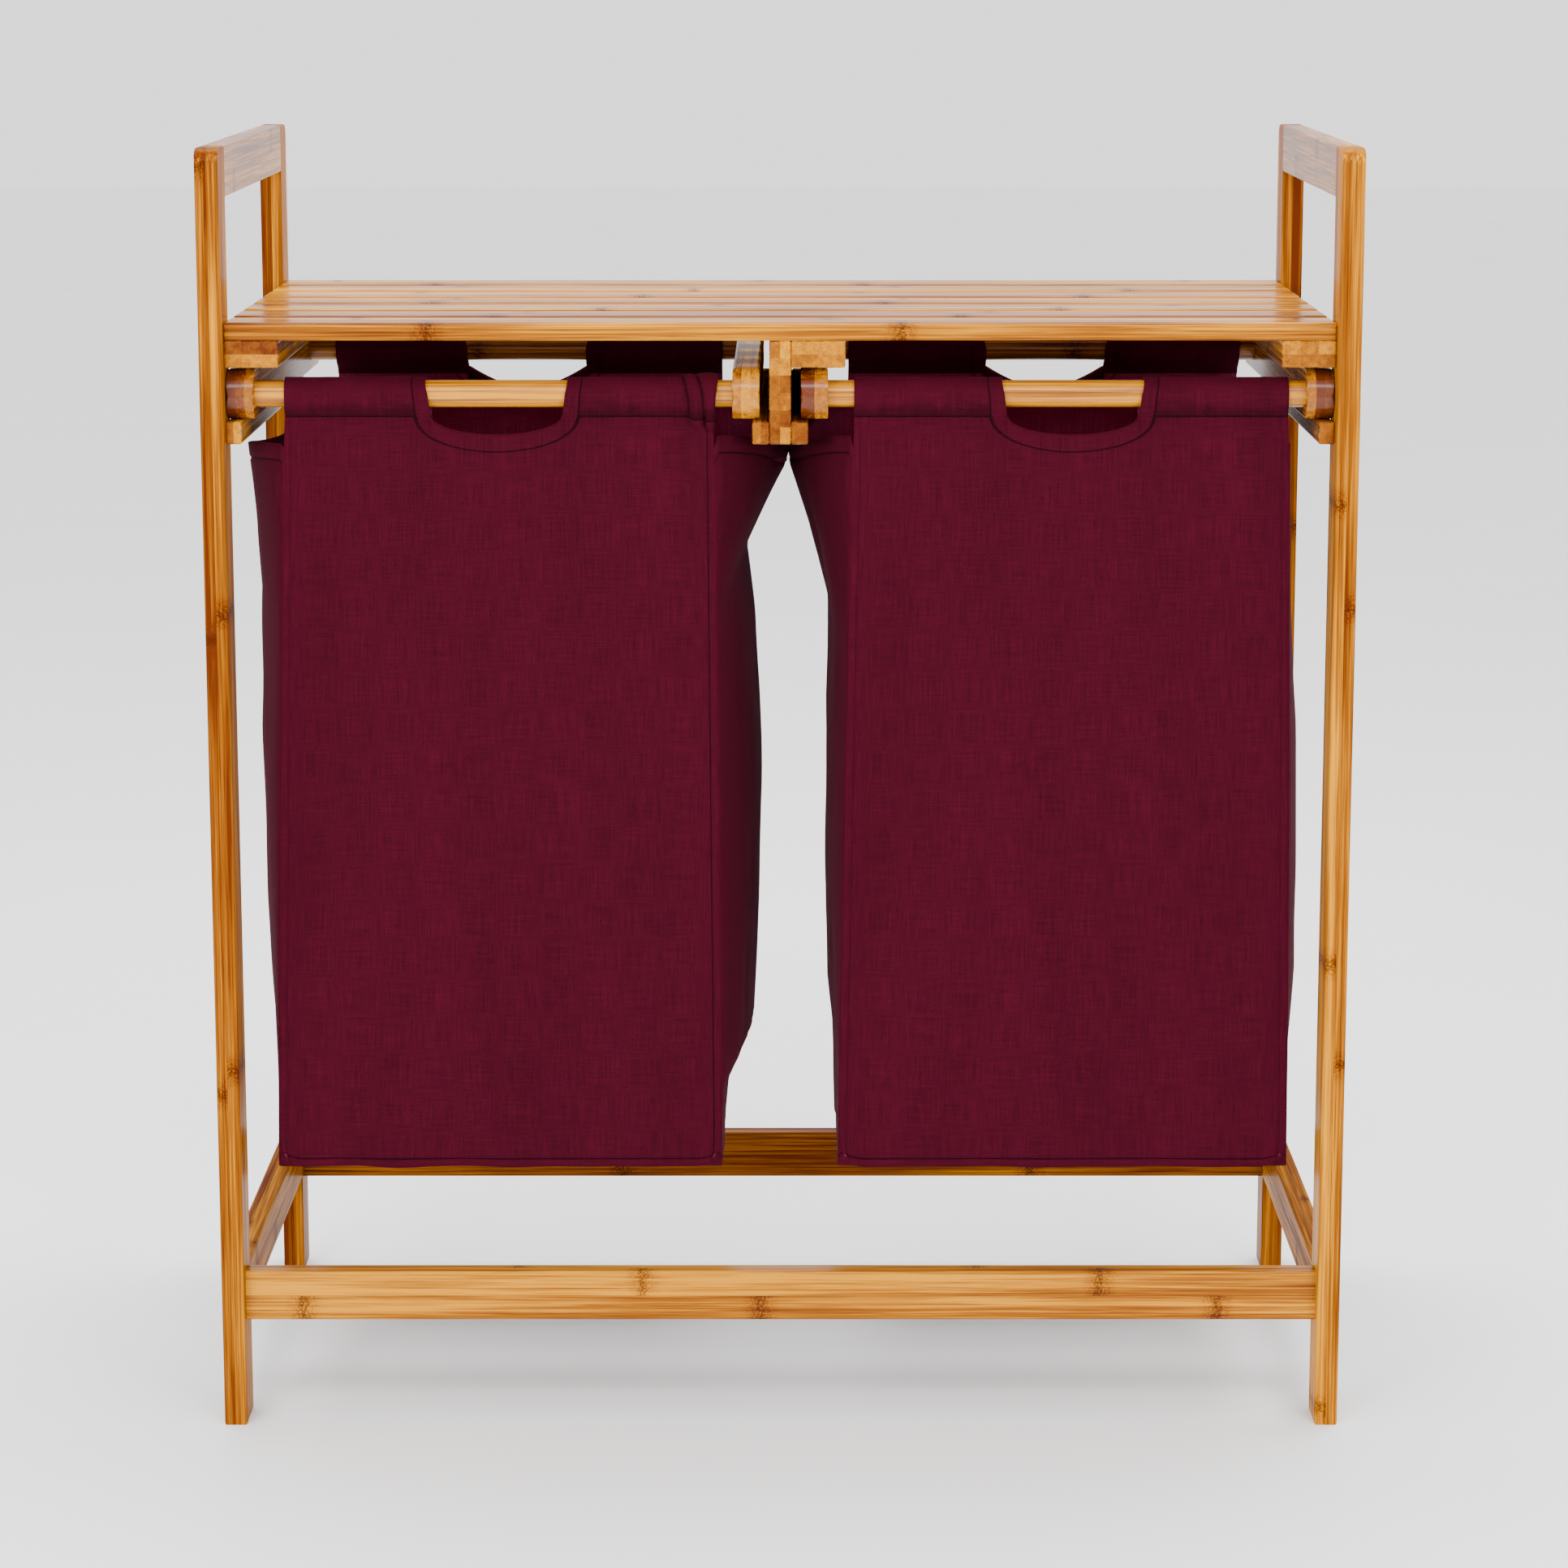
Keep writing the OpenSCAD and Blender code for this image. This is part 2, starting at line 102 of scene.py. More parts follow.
def lay_floor():
    bm = bmesh.new()
    bmesh.ops.create_grid(bm, x_segments=1, y_segments=1, size=FLOOR_HALF_SIZE)
    mesh = bpy.data.meshes.new("floor")
    bm.to_mesh(mesh)
    bm.free()
    floor = bpy.data.objects.new("floor", mesh)
    bpy.context.collection.objects.link(floor)
    pale = Surface("floor_paint")
    pale.set("Roughness", 0.75)
    pale.link("Base Color", pale.ramp(pale.noise(3.0), [(0.3, (0.915,) * 3), (0.7, (0.94,) * 3)]))
    mesh.materials.append(pale.material)


def studio():
    """A pale floor, an even pale surround, and large soft lights in front, above and behind."""
    lay_floor()
    world = bpy.data.worlds.new("surround")
    bpy.context.scene.world = world
    world.use_nodes = True
    background = world.node_tree.nodes["Background"]
    background.inputs["Color"].default_value = (1, 1, 1, 1)
    background.inputs["Strength"].default_value = SURROUND_STRENGTH
    for light in LIGHTS:
        area_light(*light)


# ---- Materials ----

def srgb(red, green, blue):
    """A screen colour, 0 to 255, as the linear colour that the shader takes."""
    def linear(value):
        share = value / 255
        return share / 12.92 if share <= 0.04045 else ((share + 0.055) / 1.055) ** 2.4
    return linear(red), linear(green), linear(blue)


class Surface:
    """A material being wired up round its Principled shader."""

    def __init__(self, name):
        self.material = bpy.data.materials.new(name)
        self.material.use_nodes = True
        self.tree = self.material.node_tree
        self.shader = self.tree.nodes["Principled BSDF"]
        self.object_place = self.node("ShaderNodeTexCoord").outputs["Object"]

    def node(self, kind, settings=(), **values):
        made = self.tree.nodes.new(kind)
        for name, value in dict(settings).items():
            setattr(made, name, value)
        for name, value in values.items():
            self.feed(made.inputs[name.replace("_", " ")], value)
        return made

    def feed(self, socket, value):
        if isinstance(value, bpy.types.NodeSocket):
            self.tree.links.new(value, socket)
        else:
            socket.default_value = value

    def set(self, name, value):
        self.shader.inputs[name].default_value = value

    def link(self, name, socket):
        self.tree.links.new(socket, self.shader.inputs[name])

    def maths(self, operation, first, second=0.0, third=0.0, clamp=False):
        made = self.tree.nodes.new("ShaderNodeMath")
        made.operation = operation
        made.use_clamp = clamp
        for socket, value in zip(made.inputs, (first, second, third)):
            self.feed(socket, value)
        return made.outputs[0]

    def add(self, first, second):
        return self.maths("ADD", first, second)

    def less(self, first, second):
        return self.maths("SUBTRACT", first, second)

    def size(self, value):
        return self.maths("ABSOLUTE", value)

    def both(self, *shares):
        """Where all of these are 1."""
        share = shares[0]
        for other in shares[1:]:
            share = self.maths("MULTIPLY", share, other)
        return share

    def above(self, value, limit):
        return self.maths("GREATER_THAN", value, limit)

    def below(self, value, limit):
        return self.maths("LESS_THAN", value, limit)

    def line(self, value, at, half=0.0005):
        """A thin line where a measure has one value."""
        return self.below(self.size(self.less(value, at)), half)

    def vary(self, tone, wave, weight, clamp=False):
        """Moves a tone up and down with a noise, by up to half the weight."""
        return self.maths("MULTIPLY_ADD", self.less(wave, 0.5), weight, tone, clamp)

    def vector(self, operation, first, second):
        made = self.tree.nodes.new("ShaderNodeVectorMath")
        made.operation = operation
        for socket, value in zip(made.inputs, (first, second)):
            self.feed(socket, value)
        return made.outputs["Value"] if operation == "DOT_PRODUCT" else made.outputs["Vector"]

    def split(self, vector):
        return self.node("ShaderNodeSeparateXYZ", Vector=vector).outputs

    def noise(self, scale, place=None, detail=2.0, roughness=0.5):
        made = self.node("ShaderNodeTexNoise", Scale=scale, Detail=detail, Roughness=roughness)
        self.feed(made.inputs["Vector"], place or self.object_place)
        return made.outputs["Fac"]

    def stretched_noise(self, place, scale, detail=2.0, roughness=0.5):
        """A noise with its own scale on each axis."""
        return self.noise(1.0, self.vector("MULTIPLY", place, scale), detail, roughness)

    def ramp(self, value, stops):
        made = self.node("ShaderNodeValToRGB", Fac=value)
        elements = made.color_ramp.elements
        while len(elements) < len(stops):
            elements.new(0.5)
        for element, (position, colour) in zip(elements, stops):
            element.position = position
            element.color = (*colour, 1)
        return made.outputs["Color"]

    def span(self, value, low, high, to_low=0.0, to_high=1.0):
        made = self.node("ShaderNodeMapRange", {"interpolation_type": "SMOOTHSTEP"})
        for name, number in (("Value", value), ("From Min", low), ("From Max", high),
                             ("To Min", to_low), ("To Max", to_high)):
            self.feed(made.inputs[name], number)
        return made.outputs["Result"]

    def tint(self, colour, share, strength, over):
        """Lays one flat colour over another where share is 1."""
        return self.mix(self.maths("MULTIPLY", share, strength), colour, (*over, 1))

    def mix(self, share, first, second):
        made = self.node("ShaderNodeMix", {"data_type": "RGBA"})
        self.feed(made.inputs["Factor"], share)
        colours = [s for s in made.inputs if s.type == "RGBA"]
        self.feed(colours[0], first)
        self.feed(colours[1], second)
        return [s for s in made.outputs if s.type == "RGBA"][0]

    def bump(self, height, strength, distance, under=None):
        made = self.node("ShaderNodeBump", Strength=strength, Distance=distance, Height=height)
        if under:
            self.feed(made.inputs["Normal"], under)
        return made.outputs["Normal"]


# ---- Bamboo and zinc ----

# The darkest tone serves knots, glue lines and pores, and also the painted shade on the slats' long sides.
HONEY, AMBER, TOBACCO, KNOT_AND_SHADE = srgb(194, 128, 5), srgb(136, 77, 2), srgb(84, 32, 3), srgb(52, 12, 1)
TIMBER_TONES = [(0.0, HONEY), (0.5, AMBER), (1.0, TOBACCO)]
NODE_SPACING = 0.262        # from one node of the cane to the next
PLAIN_LACQUER = 0.62        # how much of the full gloss a board keeps
SATIN_IOR, GLOSS_IOR = 1.27, 1.5
EVEN_BOARD, CLEAT_BOARD, STRIPED_BOARD = 0.34, 0.3, 0.9     # how far its strips differ in tone


def stretch(along, lengthways, crossways):
    """A scale with one value along the grain and another across it."""
    return tuple(lengthways if axis == along else crossways for axis in range(3))


def bamboo(name, node, along, layers=2, strips=2, tones=(0.35, 0.6), seed=0.0, rubbing=(), painted_gap_shade=False,
           patchy=EVEN_BOARD, lacquer=PLAIN_LACQUER, coat_ior=SATIN_IOR):
    """Lacquered laminated bamboo for one board. along is the axis of the grain; the board is glued up
    from layers through its thickness and strips across its width, each with its own tone and joints.
    rubbing gives the directions of the faces that slide on a neighbour and have lost their lacquer."""
    low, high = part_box(node)
    size = high - low
    thick, wide = sorted((a for a in range(3) if a != along), key=lambda a: size[a])
    made = Surface(name)
    place = made.split(made.object_place)
    length_at = made.less(place[along], low[along] - seed * 0.37)
    layer_at = made.maths("MULTIPLY", made.less(place[thick], low[thick]), layers / size[thick])
    strip_at = made.maths("MULTIPLY", made.less(place[wide], low[wide]), strips / size[wide])
    layer = made.maths("FLOOR", made.maths("MINIMUM", layer_at, layers - 0.01))
    strip = made.maths("FLOOR", made.maths("MINIMUM", strip_at, strips - 0.01))
    cell = made.node("ShaderNodeCombineXYZ", X=layer, Y=strip, Z=seed).outputs[0]
    chance = made.node("ShaderNodeTexWhiteNoise", Vector=cell).outputs["Color"]
    chances = made.split(chance)
    # Each strip is cut from elsewhere along the cane
    shifted = made.vector("ADD", made.object_place, made.vector("MULTIPLY", chance, (0.9, 0.7, 0.8)))
    # Fibres run with the grain: fine lines, broader bands, and long slow drifts of tone
    fibres = made.stretched_noise(shifted, stretch(along, 13.0, 900.0), 3.0, 0.6)
    bands = made.stretched_noise(shifted, stretch(along, 3.6, 260.0))
    drift = made.noise(5.0, shifted, 1.0)
    layer_tone = made.node("ShaderNodeMix", {"data_type": "FLOAT"})
    for socket, value in ((0, made.maths("MINIMUM", layer, 1.0)), (2, tones[0]), (3, tones[1])):
        made.feed(layer_tone.inputs[socket], value)
    tone = made.add(layer_tone.outputs[0], made.maths("MULTIPLY", made.less(chances[0], 0.5), patchy))
    end_tone = made.vary(tone, made.noise(300.0, detail=1.0), 0.6, clamp=True)
    for wave, weight in ((fibres, 1.8), (bands, 1.5), (drift, 0.8)):
        tone = made.vary(tone, wave, weight)
    # The cane's nodes cross each strip, ragged and darker, with a soft halo
    wobble = made.maths("MULTIPLY", made.noise(160.0, shifted), 0.006)
    step = made.add(made.maths("DIVIDE", made.add(length_at, wobble), NODE_SPACING), chances[1])
    off = made.maths("MULTIPLY", made.size(made.less(made.maths("FRACT", step), 0.5)), NODE_SPACING)
    speck = made.noise(900.0, shifted, 3.0, 0.7)
    halo = made.both(made.span(off, 0.0015, 0.0120, 1.0, 0.0), made.span(speck, 0.38, 0.60))
    line = made.both(made.span(off, 0.0010, 0.0040, 1.0, 0.0), made.span(speck, 0.34, 0.52))
    tone = made.maths("MULTIPLY_ADD", halo, 0.42, tone, clamp=True)
    colour = made.tint(made.ramp(tone, TIMBER_TONES), line, 0.55, KNOT_AND_SHADE)
    # Glue lines between the strips
    for at, count in ((layer_at, layers), (strip_at, strips)):
        if count > 1:
            edge = made.size(made.less(made.maths("FRACT", made.add(at, 0.5)), 0.5))
            inside = made.both(made.above(at, 0.5), made.below(at, count - 0.5))
            joint = made.both(made.span(edge, 0.0, 0.035, 0.32, 0.0), inside)
            colour = made.mix(joint, colour, (*KNOT_AND_SHADE, 1))
    # End grain: cut fibre bundles show as dark pores
    normal = made.node("ShaderNodeNewGeometry").outputs["True Normal"]
    end = made.span(made.size(made.vector("DOT_PRODUCT", normal, stretch(along, 1.0, 0.0))), 0.6, 0.9)
    cells = made.node("ShaderNodeTexVoronoi", Scale=950.0, Vector=made.object_place)
    pores = made.span(cells.outputs["Distance"], 0.15, 0.36, 1.0, 0.0)
    colour = made.mix(end, colour, made.tint(made.ramp(end_tone, TIMBER_TONES), pores, 0.5, KNOT_AND_SHADE))
    # Painted shade: the slats' long sides, facing the dark gaps between slats, are darkened.
    if painted_gap_shade:
        gap_shade_mask = made.span(made.size(made.split(normal)[wide]), 0.6, 0.9)
        colour = made.tint(colour, gap_shade_mask, 0.75, KNOT_AND_SHADE)
    made.link("Base Color", colour)
    made.link("Roughness", made.span(fibres, 0.3, 0.7, 0.30, 0.42))
    made.set("Specular IOR Level", 0.03)
    made.set("IOR", 1.0 if rubbing else 1.15)
    made.set("Coat IOR", coat_ior)
    made.set("Coat Roughness", 0.2)
    made.set("Coat Weight", lacquer)
    if rubbing:
        kept = lacquer
        for direction in rubbing:
            facing = made.vector("DOT_PRODUCT", normal, direction)
            kept = made.maths("MULTIPLY", kept, made.span(facing, 0.5, 0.9, 1.0, 0.0))
        made.link("Coat Weight", kept)
    relief = made.less(fibres, made.maths("MULTIPLY", line, 0.8))
    made.link("Normal", made.bump(relief, 0.22, 0.0004))
    return made.material


def give(node, material):
    """The CAD piece keeps its shape and takes this finish."""
    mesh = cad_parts[node].data
    mesh.materials.clear()
    mesh.materials.append(material)


def finish_timber():
    x, y, z = range(3)
    slats = [f"shelf_slat_{i}" for i in range(1, 8)]
    boards = [  # node, grain axis, layers, strips, tones of the first and later layers
        ("left_front_post", z, 2, 1, (0.72, 0.5)), ("right_front_post", z, 2, 1, (0.16, 0.24)),
        # The rear posts' darker tones are partly the bamboo's own and partly painted shade of their lower
        # parts.
        ("left_rear_post", z, 2, 1, (0.82, 0.7)), ("right_rear_post", z, 2, 1, (0.74, 0.8)),
        ("left_handle_rail", y, 2, 2, (0.45, 0.5)), ("right_handle_rail", y, 2, 2, (0.5, 0.45)),
        ("left_lower_rail", y, 2, 2, (0.5, 0.45)), ("right_lower_rail", y, 2, 2, (0.5, 0.6)),
        # The rear lower rail's tones are darkened past its own, as painted shade for the rail in shadow beside
        # the bags.
        ("front_lower_rail", x, 2, 2, (0.44, 0.5)), ("rear_lower_rail", x, 2, 2, (0.84, 0.88)),
        ("left_runner_ledge", y, 2, 1, (0.8, 0.5)), ("right_runner_ledge", y, 2, 1, (0.85, 0.5)),
        ("centre_divider", y, 2, 6, (0.42, 0.42)),
        ("centre_ledge_left", y, 2, 1, (0.7, 0.45)), ("centre_ledge_right", y, 2, 1, (0.7, 0.62)),
        ("left_shelf_cleat", y, 2, 3, (0.3, 0.82)), ("centre_shelf_cleat", y, 2, 2, (0.5, 0.36)),
        ("right_shelf_cleat", y, 2, 3, (0.66, 0.34)),
        ("left_outer_runner", y, 3, 1, (0.8, 0.45)), ("left_inner_runner", y, 3, 1, (0.4, 0.55)),
        ("right_inner_runner", y, 2, 1, (0.75, 0.45)), ("right_outer_runner", y, 3, 1, (0.5, 0.75)),
        ("left_front_dowel", x, 1, 1, (0.28, 0.28)), ("right_front_dowel", x, 1, 1, (0.28, 0.28)),
        ("left_rear_dowel", x, 1, 1, (0.6, 0.6)), ("right_rear_dowel", x, 1, 1, (0.6, 0.6)),
    ]
    boards += [(slat, x, 1, 2, (0.30 + 0.05 * (i % 3),) * 2) for i, slat in enumerate(slats, 1)]
    leftward, rightward, downward, upward = (-1, 0, 0), (1, 0, 0), (0, 0, -1), (0, 0, 1)
    rubbing = {"left_outer_runner": (leftward, downward), "left_inner_runner": (rightward, downward),
               "right_inner_runner": (leftward, downward), "right_outer_runner": (rightward, downward),
               "left_runner_ledge": (upward,), "right_runner_ledge": (upward,),
               "centre_ledge_left": (upward,), "centre_ledge_right": (upward,),
               "centre_divider": (leftward, rightward)}
    lacquer = {"left_lower_rail": 0.05, "right_lower_rail": 0.05, "rear_lower_rail": 0.25}
    lacquer.update({f"{side}_{end}_post": 0.16 for side in SIDES for end in ENDS})
    lacquer.update({slat: 0.5 for slat in slats})
    for place, (node, along, layers, strips, tones) in enumerate(boards, 1):
        # Slats behind the first get painted shade on their long sides, for the gaps between them.
        painted_gap_shade = node in slats and node != "shelf_slat_1"
        patchy = CLEAT_BOARD if "cleat" in node else STRIPED_BOARD if node in rubbing else EVEN_BOARD
        glossy = node.endswith(("_dowel", "er_runner"))
        give(node, bamboo(f"bamboo_{node}", node, along, layers, strips, tones, float(place),
                          rubbing.get(node, ()), painted_gap_shade, patchy, lacquer.get(node, PLAIN_LACQUER),
                          GLOSS_IOR if glossy else SATIN_IOR))


def zinc():
    made = Surface("zinc_plate")
    made.set("Metallic", 1.0)
    grey = [(0.3, (0.50, 0.50, 0.48)), (0.7, (0.68, 0.68, 0.66))]
    made.link("Base Color", made.ramp(made.noise(400.0, detail=3.0), grey))
    made.link("Roughness", made.span(made.noise(900.0), 0.3, 0.7, 0.28, 0.44))
    made.link("Normal", made.bump(made.noise(1500.0), 0.08, 0.0002))
    return made.material


def finish_fasteners():
    plate = zinc()
    for node in ("frame_bolts", "barrel_nuts", "shelf_bolts", "slat_screws", "divider_screws",
                 "side_ledge_screws", "centre_ledge_screws", "left_dowel_screws", "right_dowel_screws"):
        give(node, plate)
    beech = bamboo("beech", "left_glue_dowels", 1, 1, 1, (0.2, 0.2))
    give("left_glue_dowels", beech)
    give("right_glue_dowels", beech)


# ---- Bags, with every measure in millimetres ----

HALF_WIDTH = 120.0      # of a panel at its stitch line
HALF_CUT = 37.0         # of the hand cut-out between a panel's two sleeves
CUT_DROP = 10.7         # how far the front cut-out dips below the stitch line
REAR_CUT_DROP = 14.0
CUT_REACH = 60.0        # how far down the rows bend to meet the cut-out
HEM = 8.7               # turned in and stitched round the cut-out
GUSSET_HEM = 8.2
SEAM = 3.6              # in from a panel's edge
WELT = 4.2              # up from the bottom edge
CLOTH = 1.2
NEAR = 0.01             # as good as equal

# Across a panel from the middle of its cut-out, close together where a seam or a fold needs it
ACROSS = (0, 7, 14, 20, 25.5, 30, 33.2, 35.4, 36.6, 37, 38, 41, 46, 53, 61, 69, 77, 85, 92, 97, 99,
          100.6, 102.2, 103.8, 105.4, 107, 108.6, 110.2, 111.8, 113.4, 115,
          HALF_WIDTH - SEAM, 117.6, 118.8, HALF_WIDTH)
ACROSS = tuple(-a for a in reversed(ACROSS[1:])) + ACROSS
GUSSET_COLUMNS = 38
# Heights of the rows above the underside, up to the gussets' hems
RISE = (1.6, 2.9, WELT, 5.5, 7.6, 12, 19, 27, 35, 40, 44, 48, 52, 57, 63, 72, 80, 89, 98, 107, 116, 125,
        134, 143, 152, 161, 170, 179, 188, 197, 206, 215, 224, 233, 242, 251, 260, 269, 278, 287, 296,
        305, 314, 322, 330, 336, 341, 346, 350, 354, 360, 367, 375, 383, 391, 399)
PANEL_RISE = (0.35, 0.65, 0.8, 0.9, 1.0)    # shares of the way from the gussets' tops to the stitch line

# How each bag lies: its panel edges, and its gussets' bellies as (height above the underside, how far out
# from the bag's middle)
LIES = {
    "left": {
        "cut": (-35, 38), "top": (-116, 122), "bottom": (-128, 125), "seed": 3.0, "twisted_sleeve": True,
        "low_belly": ((0, -128), (50, -131), (150, -137), (250, -138), (330, -134.5), (370, -137),
                      (414, -142)),
        "high_belly": ((0, 125), (16, 126), (42, 130.5), (55, 142.5), (130, 145), (200, 146), (255, 145),
                       (300, 142.5), (344, 137), (350, 139), (380, 151), (400, 160), (414, 163.5)),
    },
    "right": {
        "cut": (-33, 40), "top": (-118, 123), "bottom": (-126, 130), "seed": 8.0, "twisted_sleeve": False,
        "low_belly": ((0, -126), (53, -127), (80, -130), (150, -132), (250, -132.5), (312, -131),
                      (318, -132), (360, -142), (400, -153), (414, -154)),
        "high_belly": ((0, 130), (60, 134), (105, 137), (250, 134), (330, 130), (414, 128)),
    },
}


def along(points, at):
    """The value at a place along a broken line of (place, value) points."""
    for (start, first), (stop, last) in zip(points, points[1:]):
        if at <= stop:
            share = max(0.0, (at - start) / (stop - start))
            return first + (last - first) * share
    return points[-1][1]


def ripple(x, y, z):
    return noise.noise(Vector((x, y, z)))


def along_hem(rim):
    """Only the new edges that run along the hem, not those at its ends."""
    return [e for e in rim if abs(e.verts[0].co.z - e.verts[1].co.z) < 4 * MM]


class Bag:
    """One sewn bag: a base, four walls grown up from it ring by ring, and four sleeves round its dowels."""

    def __init__(self, side):
        self.side, self.lie = side, LIES[side]
        front_low, front_high = self.box("bag_front")
        self.middle = (front_low.x + front_high.x) / 2
        self.bottom = self.box("bag_base")[0].z + CLOTH / 2
        self.gusset_top = self.box("bag_inner_gusset")[1].z
        self.dowels = {}
        for end in ENDS:
            low, high = self.box(f"{end}_dowel")
            self.dowels[end] = ((low + high) / 2, (high.z - low.z) / 2 + CLOTH / 2 + 0.5)
        dowel, wrap = self.dowels["front"]
        self.faces = (dowel.y - wrap - 0.2, self.dowels["rear"][0].y + wrap + 0.2)
        self.stitch = dowel.z - 12.3
        self.full = self.stitch - self.bottom
        # Which column and row each vertex belongs to, and how far it is past the folds of a twisted sleeve
        self.bm = bmesh.new()
        self.across = self.bm.verts.layers.int.new("across")
        self.back = self.bm.verts.layers.int.new("back")
        self.up = self.bm.verts.layers.float.new("up")
        self.folds = self.bm.verts.layers.float_vector.new("folds")
        # Columns of a gusset, back from the front panel
        deep = self.faces[1] - self.faces[0]
        self.backs = [0.0, 2.0, SEAM]
        self.backs += [SEAM + 4.0 + i * (deep - 2 * SEAM - 8.0) / (GUSSET_COLUMNS - 6)
                       for i in range(GUSSET_COLUMNS - 5)]
        self.backs += [deep - b for b in (SEAM, 2.0, 0.0)]
        self.last_i, self.last_j = len(ACROSS) - 1, len(self.backs) - 1

    def box(self, part):
        return [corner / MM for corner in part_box(f"{self.side}_{part}")]

    def is_outer(self, i):
        return (i == 0) == (self.side == "left")

    def panel_x(self, offset, height):
        """Where a panel's column is at this height above the underside."""
        lie = self.lie
        if offset < -HALF_CUT:
            x = along(((-HALF_WIDTH, lie["top"][0]), (-HALF_CUT, lie["cut"][0])), offset)
        elif offset > HALF_CUT:
            x = along(((HALF_CUT, lie["cut"][1]), (HALF_WIDTH, lie["top"][1])), offset)
        else:
            x = along(((-HALF_CUT, lie["cut"][0]), (HALF_CUT, lie["cut"][1])), offset)
        share = (x - lie["top"][0]) / (lie["top"][1] - lie["top"][0])
        low_edge = lie["bottom"][0] + (lie["bottom"][1] - lie["bottom"][0]) * share
        rise = min(1.0, max(0.0, height / self.full))
        return self.middle + low_edge + (x - low_edge) * rise

    def hang_panel(self, i, j, height, x, y, z):
        """A panel's slack, its sewn edges, and its pull in under the dowel."""
        offset, seed, below = ACROSS[i], self.lie["seed"], self.full - height
        outward = -1 if j == 0 else 1
        slack = (1 - abs(offset) / HALF_WIDTH) ** 0.5 if abs(offset) < HALF_WIDTH else 0
        depth = 1.5 * ripple(x * 0.018 + seed, height * 0.004, seed + j)
        depth += 0.7 * ripple(x * 0.06, height * 0.011, seed + 5 + j)
        hollow = slack * math.sin(math.pi * min(1.0, height / 431))
        depth -= 1.3 * hollow * (0.6 + 0.5 * ripple(seed, height * 0.01, j))
        fade = min(1.0, below / 40 + 0.1) * min(1.0, height / 30 + 0.2)
        y += outward * depth * max(0.0, fade)
        if abs(abs(offset) - (HALF_WIDTH - SEAM)) < NEAR and i not in (0, self.last_i):
            y -= outward * 0.7
        if abs(height - WELT) < NEAR:
            y -= outward * 0.8
        if below < 20:
            y -= outward * 4.2 * (1 - below / 20) ** 2.2 * (1.0 if abs(offset) >= HALF_CUT else 0.35)
        if below < 5:
            bulge, _ = self.roll("front" if j == 0 else "rear", offset, 0.0)
            y += outward * bulge * 2.3 * (1 - below / 5) ** 0.6
            z -= 0.35 * bulge
        if height < 3:
            z += 1.5 * ripple(x * 0.03, seed, 4.0 + j)
        corner = max(0.0, abs(offset) - 106) / 14 * max(0.0, 1 - height / 16)
        x -= math.copysign(3.8 * corner ** 2, offset)
        z += 7.0 * corner ** 2
        return x, y, z

    def hang_gusset(self, i, j, height, x, y, z):
        """A gusset's belly and folds, and its top edge hanging slack between the corners."""
        share, seed, outer = self.backs[j] / self.backs[-1], self.lie["seed"], self.is_outer(i)
        outward = -1 if i == 0 else 1
        belly = math.sin(math.pi * share) ** 0.7
        if outer:
            belly = min(share / 0.13, (1 - share) / 0.87) ** 0.75
        bend = height + 22 * (1 - belly) * (1 if height > 250 else 0)
        reach = along(self.lie["low_belly" if i == 0 else "high_belly"], bend) + self.middle
        x += (reach - x) * belly
        fold = 2.6 * ripple(y * 0.022, height * 0.006, seed + 11 + i)
        fold += 1.2 * ripple(y * 0.07, height * 0.016, seed + 2)
        x += min(0.8, fold * outward) * belly * outward if outer else fold * belly * 0.8
        rise = self.gusset_top - self.bottom
        if abs(height - (rise - GUSSET_HEM)) < NEAR:
            x -= outward * 0.8
        slack = min(1.0, max(0.0, (height - 300) / (rise - 300))) ** 1.5
        middle = math.sin(math.pi * share) ** 1.4
        corner_lift, middle_drop = (2.0, 8.0) if outer else (6.5, 14.0)
        z += slack * (corner_lift * (1 - middle) - middle_drop * middle)
        return x, y, z

    def place(self, i, j, height):
        """Where the cloth is for column i across, column j back and a height above the underside."""
        spot = (self.panel_x(ACROSS[i], height), self.faces[0] + self.backs[j], self.bottom + height)
        if j in (0, self.last_j):
            spot = self.hang_panel(i, j, height, *spot)
        elif i in (0, self.last_i):
            spot = self.hang_gusset(i, j, height, *spot)
        return Vector(spot)

    def settle(self, vertex, height):
        vertex[self.up] = height
        vertex.co = self.place(vertex[self.across], vertex[self.back], height) * MM

    def on_gusset(self, vertex):
        return 0 < vertex[self.back] < self.last_j

    def grow(self, edges, put):
        """Extrudes these edges, puts each new vertex in its place, and gives the new open edges."""
        grown = bmesh.ops.extrude_edge_only(self.bm, edges=edges)["geom"]
        fresh = [part for part in grown if isinstance(part, bmesh.types.BMVert)]
        for vertex in fresh:
            put(vertex)
        fresh = set(fresh)
        return [e for e in self.bm.edges if e.is_boundary and e.verts[0] in fresh and e.verts[1] in fresh]

    def sew_base(self):
        bm = self.bm
        bmesh.ops.create_grid(bm, x_segments=self.last_i, y_segments=self.last_j, size=0.5)
        for vertex in bm.verts:
            vertex[self.across] = round((vertex.co.x + 0.5) * self.last_i)
            vertex[self.back] = round((vertex.co.y + 0.5) * self.last_j)
        for vertex in bm.verts:
            self.settle(vertex, 0.0)
            if not vertex.is_boundary:
                sag = math.sin(math.pi * self.backs[vertex[self.back]] / self.backs[-1]) ** 0.6
                sag *= math.cos(math.pi / 2 * ACROSS[vertex[self.across]] / HALF_WIDTH) ** 0.6
                vertex.co.z += (1.2 * ripple(vertex.co.x * 18, vertex.co.y * 18, 2.0) - 1.0 * sag) * MM

